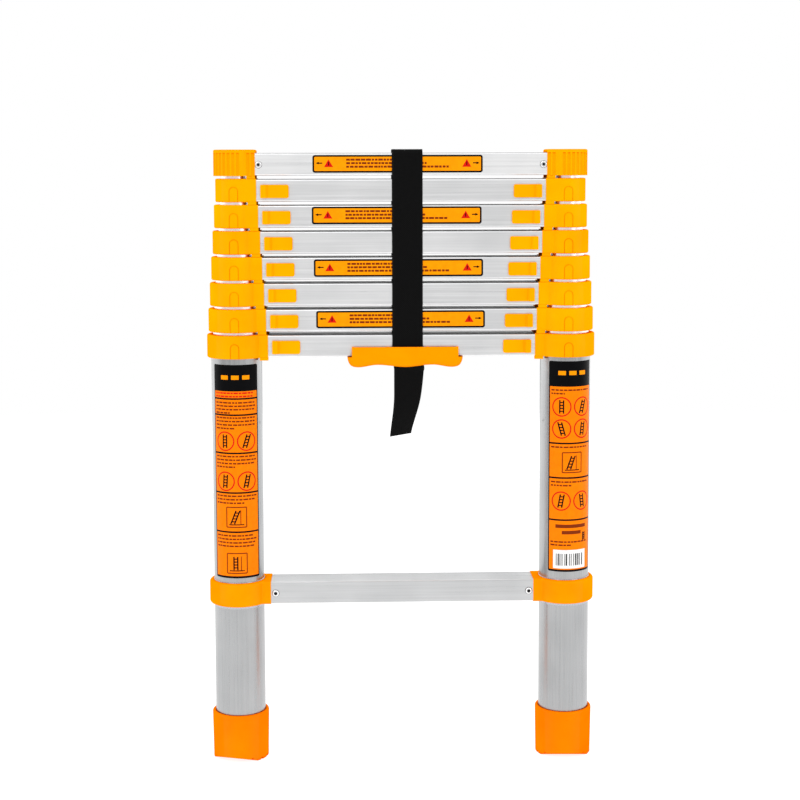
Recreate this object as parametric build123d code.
from build123d import *
import math
import os

# Telescoping ladder, closed. Millimetres, +Z up, X along the rungs, front at -Y.
# The origin is on the floor, midway between the two stiles.

# ---------------------------------------------------------------- driving dimensions
SECTIONS = 8                # pairs of telescoping tubes; section 1 is the outermost pair
AXIS_SPACING = 393.0        # between the two stile axes
RUNG_PITCH = 297.0          # from one rung to the next with the ladder drawn out
STACK_PITCH = 30.6          # from one rung to the next with the ladder closed
FIXED_RUNG_Z = 205.1        # centre of the lowest rung, clamped to the outer tubes

TUBE_RADIUS = 30.0          # outermost tube, outside
TUBE_STEP = 2.0             # each inner tube is this much smaller in radius
TUBE_WALL = 1.2
TUBE_LENGTH = 387.0         # of each moving tube

RUNG_DEPTH = 40.0
RUNG_HEIGHT = 26.3
RUNG_WALL = 1.5
RUNG_CORNER = 1.8

COLLAR_HEIGHT = 27.5
COLLAR_RIM = 4.8            # collar wall outside its tube
SOCKET_BEYOND_TUBE = 8.5    # from the tube's surface to the rung's end
SOCKET_DEPTH = 41.5
CAP_RIM = 8.8               # the same sizes on the top caps
CAP_SOCKET_BEYOND_TUBE = 9.2
CAP_OVERHANG = 0.05         # of a cap's top plate over the rung's end
FIXED_COLLAR_HEIGHT = 28.4  # and on the collars of the lowest rung
FIXED_COLLAR_RIM = 5.4
FIXED_SOCKET_BEYOND_TUBE = 8.9

FOOT_RADIUS = 33.1          # at the floor; the boot widens upwards
FOOT_TOP_RADIUS = 34.1
FOOT_HEIGHT = 57.5
LEFT_FOOT_TWIST = -17.0     # the push-on feet have turned a little on their tubes
RIGHT_FOOT_TWIST = -2.0

BUTTON_TRAVEL = 8.0
BUTTON_LENGTH = 33.0
BUTTON_HEIGHT = 15.4
BUTTON_DROP = 1.1           # the thumb plate sits this much below its pin
BUTTON_FROM_SOCKET = 4.9

HANDLE_X = 3.8              # the carrying handle and the strap sit off the middle
HANDLE_LENGTH = 126.0
GRIP_LENGTH = 136.6
GRIP_DEPTH = 11.9           # of the grip under the rung
STRAP_X = 7.2
STRAP_WIDTH = 35.0
STRAP_THICKNESS = 1.6
STRAP_TAIL_Z = 393.5        # lowest point of the free end

# ---------------------------------------------------------------- fits and small sizes
LIP = 3.0                   # inward lip at a collar's top, which guides the next tube
GUIDE_CLEARANCE = 0.35
EDGE_ROUND = 1.8
LUG_LENGTH = 10.0
LUG_DEPTH = 7.0
STACK_CLEARANCE = 0.1       # between a lug and the collar below
SPIGOT_CLEARANCE = 0.3      # between a collar's spigot and the inside of its rung
SPIGOT_LENGTH = 46.0
SHORT_SPIGOT_LENGTH = 18.0
SPIGOT_WALL = 2.0
PIN_RADIUS = 3.95
PIN_BORE_RADIUS = 4.0
PIN_HOLE_RADIUS = 4.4
PIN_TIP_GAP = 0.2
STEM_START = 14.5           # places along the latch, from the rung's end
STEM_LENGTH = 13.0
SLIDER_START = 13.0
SLIDER_LENGTH = 16.0
SLIDER_HEIGHT = 13.0
PIN_SEAT = 8.0
SPRING_SEAT = 6.0
STEM_HEIGHT = 8.0
SLOT_CLEARANCE = 0.4
SPRING_RADIUS = 3.3         # to the middle of its wire
SPRING_WIRE = 1.0
SPRING_TURNS = 8
RIVET_HEAD_RADIUS = 4.0
RIVET_SHANK_RADIUS = 2.4
RIVET_FROM_SOCKET = 4.1     # from the end of a top cap
FIXED_RIVET_FROM_SOCKET = 5.6
RIVET_DROP = 0.6
MANDREL_RADIUS = 1.75
SOLE = 8.0                  # floor of a foot, under the tube
BEVEL_START = 18.0          # the sole slopes up in front, from this far before the axis
BEVEL_SLOPE = 0.40
TREAD_DEPTH = 2.8
TREAD_PITCH = 11.6
TREAD_GROOVE = 2.6
BOOT_LIP = 4.0              # depth of the slightly wider mouth of a foot
BOOT_LIP_GAP = 0.6
DIMPLE_RADIUS = 5.0         # of the pressed stop in an outer tube's inner side
DIMPLE_DEPTH = 0.6
DIMPLE_Z = 410.5
DIMPLE_TURN = 64.0          # degrees from the front towards the rung

HALF_SPACING = AXIS_SPACING / 2
HALF_DEPTH = RUNG_DEPTH / 2
HALF_HEIGHT = RUNG_HEIGHT / 2
FAR = 200.0                 # longer than anything that a cutter has to cross


def tube_radius(k):
    return TUBE_RADIUS - TUBE_STEP * (k - 1)


def rung_z(k):
    return FIXED_RUNG_Z + RUNG_PITCH + STACK_PITCH * (k - 1)


def socket_reach(k):
    """From a stile's axis to the end of the rung of section k."""
    beyond = CAP_SOCKET_BEYOND_TUBE if k == SECTIONS else SOCKET_BEYOND_TUBE
    return tube_radius(k) + beyond


def block(x0, x1, y0, y1, z0, z1):
    """A box from its lowest to its highest corner."""
    return Pos((x0 + x1) / 2, (y0 + y1) / 2, (z0 + z1) / 2) * Box(x1 - x0, y1 - y0, z1 - z0)


def rod(radius, x0, x1):
    """A cylinder along X on the local X axis."""
    return Pos((x0 + x1) / 2, 0, 0) * Rot(0, 90, 0) * Cylinder(radius, x1 - x0)


def barrel(radius, z0, z1):
    """A cylinder along Z on the local Z axis."""
    return Pos(0, 0, (z0 + z1) / 2) * Cylinder(radius, z1 - z0)


def left(shape, z):
    """Puts a shape made about the stile's axis, rung towards +X, on the left stile."""
    return Pos(-HALF_SPACING, 0, z) * shape


def both(shape, z):
    """The same shape on the left stile and mirrored on the right one."""
    placed = left(shape, z)
    return [placed, mirror(placed, about=Plane.YZ)]


def save(name, *shapes):
    """Writes one node; its pieces stay separate solids."""
    solids = [solid for shape in shapes for solid in shape.solids()]
    export_step(Compound(solids), f"parts/{name}.step")


# ---------------------------------------------------------------- tubes and feet
def tube(k):
    """A stile tube about its axis, in its height in the closed ladder, with its pin holes."""
    top = rung_z(k) + COLLAR_HEIGHT / 2 - LIP
    bottom = SOLE if k == 1 else top - TUBE_LENGTH
    radius = tube_radius(k)
    body = barrel(radius, bottom, top) - barrel(radius - TUBE_WALL, bottom - 1, top + 1)
    hole = rod(PIN_HOLE_RADIUS, 0, radius + 1)
    if k < SECTIONS:
        body -= Pos(0, 0, rung_z(k)) * hole              # its own latch pin passes here
    if k > 1:
        body -= Pos(0, 0, rung_z(k) - RUNG_PITCH) * hole  # the pin below drops in here
    else:
        out = radius + DIMPLE_RADIUS - DIMPLE_DEPTH
        body -= Rot(0, 0, DIMPLE_TURN) * Pos(0, -out, DIMPLE_Z) * Sphere(DIMPLE_RADIUS)
    return body


def foot(twist):
    """A push-on rubber boot with a grooved sole that slopes up in front."""
    body = Pos(0, 0, FOOT_HEIGHT / 2) * Cone(FOOT_RADIUS, FOOT_TOP_RADIUS, FOOT_HEIGHT)
    body = fillet(body.edges().group_by(Axis.Z)[-1], 2.2)
    body -= barrel(TUBE_RADIUS, SOLE, FOOT_HEIGHT + 1)
    body -= barrel(TUBE_RADIUS + BOOT_LIP_GAP, FOOT_HEIGHT - BOOT_LIP, FOOT_HEIGHT + 1)
    toe = Polyline((-BEVEL_START, 0), (-BEVEL_START - FAR, BEVEL_SLOPE * FAR),
                   (-BEVEL_START - FAR, -1), (-BEVEL_START, -1), close=True)
    body -= extrude(Plane.YZ * make_face(toe), FAR, both=True)
    for i in range(-2, 3):
        groove_y = i * TREAD_PITCH
        sole_z = max(0.0, BEVEL_SLOPE * (-groove_y - BEVEL_START))
        body -= block(-FAR, FAR, groove_y - TREAD_GROOVE / 2, groove_y + TREAD_GROOVE / 2,
                      -1, sole_z + TREAD_DEPTH)
    return Rot(0, 0, twist) * body


# ---------------------------------------------------------------- collars and caps
def collar_outline(radius, reach):
    """Seen from above: a ring that runs into a square socket block towards the rung."""
    outline = Circle(radius) + Pos(reach / 2, 0) * Rectangle(reach, SOCKET_DEPTH)
    waist = [v for v in outline.vertices() if 0.5 < v.X < reach - 0.5]
    return fillet(waist, 3.0)


def round_rims(body, reach, radius):
    """Rounds the top and bottom edges, but not those that meet the rung's end."""
    levels = body.edges().group_by(Axis.Z)
    rims = [e for e in levels[0] + levels[-1] if e.center().X < reach - 0.5]
    return fillet(rims, radius)


def snap_tongue(radius):
    """The arch-shaped slit moulded in a collar's front."""
    arch = Pos(0, -2) * (Rectangle(10.6, 14) + Pos(0, 7) * Circle(5.3))
    inner = Pos(0, -2.5) * (Rectangle(9.4, 15) + Pos(0, 7.5) * Circle(4.7))
    slit = extrude(Plane.XZ * (arch - inner), radius + 2)
    return Pos(0, 0, -6) * slit - barrel(radius - 0.9, -FAR, FAR)


def spigot(reach, length):
    """The plug that carries the rung's end."""
    size_y = RUNG_DEPTH - 2 * RUNG_WALL - 2 * SPIGOT_CLEARANCE
    size_z = RUNG_HEIGHT - 2 * RUNG_WALL - 2 * SPIGOT_CLEARANCE
    section = RectangleRounded(size_y, size_z, 1.4)
    return extrude(Plane.YZ.offset(reach - 2) * section, length + 2)


def latch_room(reach):
    """The hollow of a spigot, its front slot, and the bore for the pin."""
    half_y = HALF_DEPTH - RUNG_WALL - SPIGOT_CLEARANCE - SPIGOT_WALL
    half_z = HALF_HEIGHT - RUNG_WALL - SPIGOT_CLEARANCE - SPIGOT_WALL
    end = reach + SPIGOT_LENGTH - SPIGOT_WALL
    room = block(reach + 4, end, -half_y, half_y, -half_z, half_z)
    peg = rod(2.4, end - 5, end)
    return (room - peg) + front_slot(reach) + rod(PIN_BORE_RADIUS, 0, reach + 5)


def front_slot(reach):
    """The slot in a rung's front that a button's stem slides in."""
    half = STEM_HEIGHT / 2 + SLOT_CLEARANCE
    start = reach + STEM_START - SLOT_CLEARANCE
    end = reach + STEM_START + STEM_LENGTH + BUTTON_TRAVEL + SLOT_CLEARANCE
    return block(start, end, -HALF_DEPTH - 1, -HALF_DEPTH / 2, -half, half)


def lugs(reach, underside):
    """Two feet under the socket block, which rest on the collar below."""
    drop = STACK_PITCH - COLLAR_HEIGHT - STACK_CLEARANCE
    return [block(reach - LUG_LENGTH, reach, y - LUG_DEPTH / 2, y + LUG_DEPTH / 2,
                  underside - drop, underside + 1) for y in (-16.5, 16.5)]


def collar(k):
    """A moulded collar: clamps its tube's top, guides the next tube, holds the rung."""
    radius = tube_radius(k) + COLLAR_RIM
    reach = socket_reach(k)
    half = COLLAR_HEIGHT / 2
    body = extrude(collar_outline(radius, reach), half, both=True)
    body = round_rims(body, reach, EDGE_ROUND)
    for lug in lugs(reach, -half):
        body += lug
    body += spigot(reach, SPIGOT_LENGTH)
    body -= barrel(tube_radius(k), -half - 5, half - LIP)
    body -= barrel(tube_radius(k + 1) + GUIDE_CLEARANCE, 0, half + 1)
    body -= latch_room(reach)
    return body - snap_tongue(radius)


def fixed_collar():
    """The collar of the lowest rung, clamped round the outside of the outer tube."""
    radius = TUBE_RADIUS + FIXED_COLLAR_RIM
    reach = TUBE_RADIUS + FIXED_SOCKET_BEYOND_TUBE
    half = FIXED_COLLAR_HEIGHT / 2
    body = extrude(collar_outline(radius, reach), half, both=True)
    body = round_rims(body, reach, 3.2)
    body += spigot(reach, SHORT_SPIGOT_LENGTH)
    body -= barrel(TUBE_RADIUS, -half - 1, half + 1)
    return body - rivet_hole(reach + FIXED_RIVET_FROM_SOCKET)


def flutes(radius, reach, low, high):
    """Upright grooves round a cap and across the front and back of its socket block."""
    groove_radius = 2.4
    centre = radius + groove_radius - 0.95
    cutters = []
    count = 28
    for i in range(count):
        angle = 2 * math.pi * i / count
        x, y = centre * math.cos(angle), centre * math.sin(angle)
        if x < 11:
            cutters.append(Pos(x, y, 0) * barrel(groove_radius, low, high))
    flat = SOCKET_DEPTH / 2 + groove_radius - 0.95
    for x in (reach - 8.0, reach - 2.6):
        for y in (-flat, flat):
            cutters.append(Pos(x, y, 0) * barrel(groove_radius, low, high))
    return cutters


def cap():
    """A fluted cap that closes the innermost tube and holds the top rung."""
    radius = tube_radius(SECTIONS) + CAP_RIM
    reach = socket_reach(SECTIONS)
    half = COLLAR_HEIGHT / 2
    crown = half + 3.4
    outline = collar_outline(radius, reach)
    body = extrude(Pos(0, 0, -half) * outline, half + crown - 1)
    for cutter in flutes(radius, reach, -FAR, HALF_HEIGHT + 1.5):
        body -= cutter
    plate = extrude(Pos(0, 0, HALF_HEIGHT + 0.05) * collar_outline(radius, reach + CAP_OVERHANG),
                    crown - HALF_HEIGHT - 0.05)
    plate = fillet(plate.edges().group_by(Axis.Z)[-1], 2.2)
    body += plate
    for lug in lugs(reach, -half):
        body += lug
    body += spigot(reach, SHORT_SPIGOT_LENGTH)
    body -= barrel(tube_radius(SECTIONS), -half - 5, half - LIP)
    return body - rivet_hole(reach + RIVET_FROM_SOCKET)


# ---------------------------------------------------------------- rungs and rivets
def rung(half_length, slots):
    """An extruded box tube with shallow tread grooves along its top."""
    outer = RectangleRounded(RUNG_DEPTH, RUNG_HEIGHT, RUNG_CORNER)
    inner = RectangleRounded(RUNG_DEPTH - 2 * RUNG_WALL, RUNG_HEIGHT - 2 * RUNG_WALL,
                             RUNG_CORNER - RUNG_WALL)
    section = outer - inner
    for i in range(-3, 4):
        section -= Pos(i * 5.0, HALF_HEIGHT) * Rectangle(1.6, 0.9)
    body = extrude(Plane.YZ * section, half_length, both=True)
    for slot in slots:
        body -= slot
    return body


def rivet_hole(x):
    """A hole through the front of a socket's spigot and rung end."""
    return Pos(x, -HALF_DEPTH, -RIVET_DROP) * Rot(90, 0, 0) * Cylinder(RIVET_SHANK_RADIUS, 12)


def rivet(x):
    """A blind rivet: a shallow dome with its broken mandrel hole, and a shank."""
    dome = Pos(0, 0, 0.75) * Cylinder(RIVET_HEAD_RADIUS, 1.5)
    dome = fillet(dome.edges().group_by(Axis.Z)[-1], 1.1)
    shank = Pos(0, 0, -2.4) * Cylinder(RIVET_SHANK_RADIUS, 4.9)
    mandrel = Pos(0, 0, 0.6) * Cylinder(MANDREL_RADIUS, 4)
    shape = Rot(90, 0, 0) * (dome + shank - mandrel)
    return Pos(x, -HALF_DEPTH, -RIVET_DROP) * shape


# ---------------------------------------------------------------- latches
def button(k):
    """The thumb slide on a rung's front, with the stem and slider behind it."""
    reach = socket_reach(k)
    face_y = -HALF_DEPTH - 0.3
    start = reach + BUTTON_FROM_SOCKET
    end = start + BUTTON_LENGTH
    lip = 6.2
    profile = Polyline((start, face_y), (start, face_y - 4.4), (start + lip, face_y - 4.4),
                       (start + lip + 2.2, face_y - 2.0), (end - 5, face_y - 3.4),
                       (end, face_y - 2.4), (end, face_y), close=True)
    plate = Pos(0, 0, -BUTTON_DROP) * extrude(make_face(profile), BUTTON_HEIGHT / 2, both=True)
    upright = plate.edges().filter_by(Axis.Y).sort_by(Axis.X)
    plate = fillet(upright[:2], 0.8)
    upright = plate.edges().filter_by(Axis.Y).sort_by(Axis.X)
    plate = fillet(upright[-2:], 2.2)
    stem = block(reach + STEM_START, reach + STEM_START + STEM_LENGTH,
                 face_y - 1, -HALF_DEPTH / 2, -STEM_HEIGHT / 2, STEM_HEIGHT / 2)
    slider = block(reach + SLIDER_START, reach + SLIDER_START + SLIDER_LENGTH,
                   -15.8, 6.5, -SLIDER_HEIGHT / 2, SLIDER_HEIGHT / 2)
    pin_seat = rod(PIN_RADIUS, reach + SLIDER_START - 1, reach + SLIDER_START + PIN_SEAT)
    spring_end = reach + SLIDER_START + SLIDER_LENGTH
    spring_seat = rod(4.4, spring_end - SPRING_SEAT, spring_end + 1)
    return plate + stem + slider - pin_seat - spring_seat


def pin(k):
    """The steel pin that locks the next tube; its tip rests just off that tube."""
    reach = socket_reach(k)
    tip = tube_radius(k + 1) + PIN_TIP_GAP
    body = rod(PIN_RADIUS, tip, reach + SLIDER_START + PIN_SEAT)
    return chamfer(body.edges().group_by(Axis.X)[0], 0.8)


def spring(k):
    """The coil spring between a slider and the end wall of its spigot."""
    start = socket_reach(k) + SLIDER_START + SLIDER_LENGTH - SPRING_SEAT + 0.2
    end = socket_reach(k) + SPIGOT_LENGTH - SPIGOT_WALL - 0.2
    height = end - start - SPRING_WIRE
    path = Helix(height / SPRING_TURNS, height, SPRING_RADIUS)
    wire = Plane(path @ 0, z_dir=path % 0) * Circle(SPRING_WIRE / 2)
    coil = sweep(wire, path, is_frenet=True)
    return Pos(start + SPRING_WIRE / 2, 0, 0) * Rot(0, 90, 0) * coil


# ---------------------------------------------------------------- handle and strap
def handle():
    """A carrying handle clipped under the rung of section 1, open in front for the strap."""
    z_rung = -HALF_HEIGHT
    gap = HALF_DEPTH + 2.6
    outside = gap + 3.0
    top = -1.2
    plates = block(-HANDLE_LENGTH / 2, HANDLE_LENGTH / 2, -outside, outside, z_rung - 2, top)
    plates = fillet(plates.edges().filter_by(Axis.X).group_by(Axis.Z)[-1], 0.8)
    grip = extrude(Plane.XZ * grip_outline(z_rung - 0.05), outside, both=True)
    underside = [e for e in grip.edges() if e.geom_type == GeomType.BSPLINE]
    body = fillet(underside, 4.5) + plates
    body -= block(-FAR, FAR, -HALF_DEPTH - 0.05, HALF_DEPTH + 0.05, z_rung - 0.05, FAR)
    slot_x = STRAP_X - HANDLE_X
    half_slot = STRAP_WIDTH / 2 + 4
    for side in (-1, 1):
        low, high = sorted((side * (HALF_DEPTH - 0.6), side * gap))
        body -= block(slot_x - half_slot, slot_x + half_slot, low, high, -FAR, FAR)
        for x0, x1 in ((-HANDLE_LENGTH / 2 + 3, slot_x - half_slot - 3),
                       (slot_x + half_slot + 3, HANDLE_LENGTH / 2 - 3)):
            body -= block(x0, x1, low, high, z_rung, FAR)
    return Pos(HANDLE_X, 0, rung_z(1)) * body


def grip_outline(top):
    """The grip seen from the front: rounded ends and two finger hollows under it."""
    end, deep = GRIP_LENGTH / 2, GRIP_DEPTH
    half = [(end, 0), (end - 1.4, -0.5 * deep), (end - 4.4, -0.85 * deep), (end - 9.4, -deep),
            (0.55 * end, -0.81 * deep), (0, -1.02 * deep)]
    points = half + [(-x, z) for x, z in reversed(half[:-1])]
    underside = Spline(points)
    return Pos(0, top) * make_face([underside, Line(underside @ 1, underside @ 0)])


def strap():
    """Webbing over the top rung, down the front behind the handle's plate, with a free end."""
    inside = HALF_DEPTH + 0.4
    outside = inside + STRAP_THICKNESS
    top = rung_z(SECTIONS) + HALF_HEIGHT + 2.6 + STRAP_THICKNESS
    back_end = rung_z(1) - HALF_HEIGHT - 6
    front_end = rung_z(1) - HALF_HEIGHT - 12
    outer = block(-STRAP_WIDTH / 2, STRAP_WIDTH / 2, -outside, outside, front_end, top)
    outer = fillet(outer.edges().filter_by(Axis.X).group_by(Axis.Z)[-1], 5.0)
    inner = block(-FAR, FAR, -inside, inside, front_end - 1, top - STRAP_THICKNESS)
    inner = fillet(inner.edges().filter_by(Axis.X).group_by(Axis.Z)[-1], 3.4)
    loop = outer - inner - block(-FAR, FAR, 0, FAR, front_end - 1, back_end)
    return Pos(STRAP_X, 0, 0) * loop + strap_tail(inside, front_end)


def strap_tail(inside, z_top):
    """The free end, which curls to the left and is cut off at a slant."""
    left_x, right_x = STRAP_X - STRAP_WIDTH / 2, STRAP_X + STRAP_WIDTH / 2
    left_side = Spline((left_x, z_top), (left_x + 0.6, z_top - 40), (left_x - 3.4, STRAP_TAIL_Z))
    right_side = Spline((right_x, z_top), (right_x - 3.2, z_top - 38),
                        (right_x - 14.0, STRAP_TAIL_Z + 5))
    outline = make_face([left_side, Line(left_side @ 1, right_side @ 1), right_side,
                         Line(right_side @ 0, left_side @ 0)])
    return Pos(0, -inside, 0) * extrude(Plane.XZ * outline, STRAP_THICKNESS)


# ---------------------------------------------------------------- assembly
os.makedirs("parts", exist_ok=True)

save("feet", left(foot(LEFT_FOOT_TWIST), 0), Pos(HALF_SPACING, 0, 0) * foot(RIGHT_FOOT_TWIST))

fixed_reach = TUBE_RADIUS + FIXED_SOCKET_BEYOND_TUBE
fixed_rivet_x = fixed_reach + FIXED_RIVET_FROM_SOCKET
fixed_rung_holes = both(rivet_hole(fixed_rivet_x), 0)
save("bottom_collars", *both(fixed_collar(), FIXED_RUNG_Z))
save("bottom_rung", Pos(0, 0, FIXED_RUNG_Z) * rung(HALF_SPACING - fixed_reach, fixed_rung_holes))
save("bottom_rivets", *both(rivet(fixed_rivet_x), FIXED_RUNG_Z))

for k in range(1, SECTIONS + 1):
    save(f"stile_tubes_{k}", *both(tube(k), 0))
    reach = socket_reach(k)
    if k < SECTIONS:
        cuts = both(front_slot(reach), 0)
        save(f"collars_{k}", *both(collar(k), rung_z(k)))
    else:
        cuts = both(rivet_hole(reach + RIVET_FROM_SOCKET), 0)
        save("top_caps", *both(cap(), rung_z(k)))
        save("top_rivets", *both(rivet(reach + RIVET_FROM_SOCKET), rung_z(k)))
    save(f"rung_{k}", Pos(0, 0, rung_z(k)) * rung(HALF_SPACING - reach, cuts))

for k in range(1, SECTIONS):
    slides = both(button(k), rung_z(k))
    pins = both(pin(k), rung_z(k))
    springs = both(spring(k), rung_z(k))
    for side, slide, steel, coil in zip(("left", "right"), slides, pins, springs):
        save(f"latch_{k}_{side}", slide, steel)
        save(f"latch_spring_{k}_{side}", coil)

save("carry_handle", handle())
save("strap", strap())
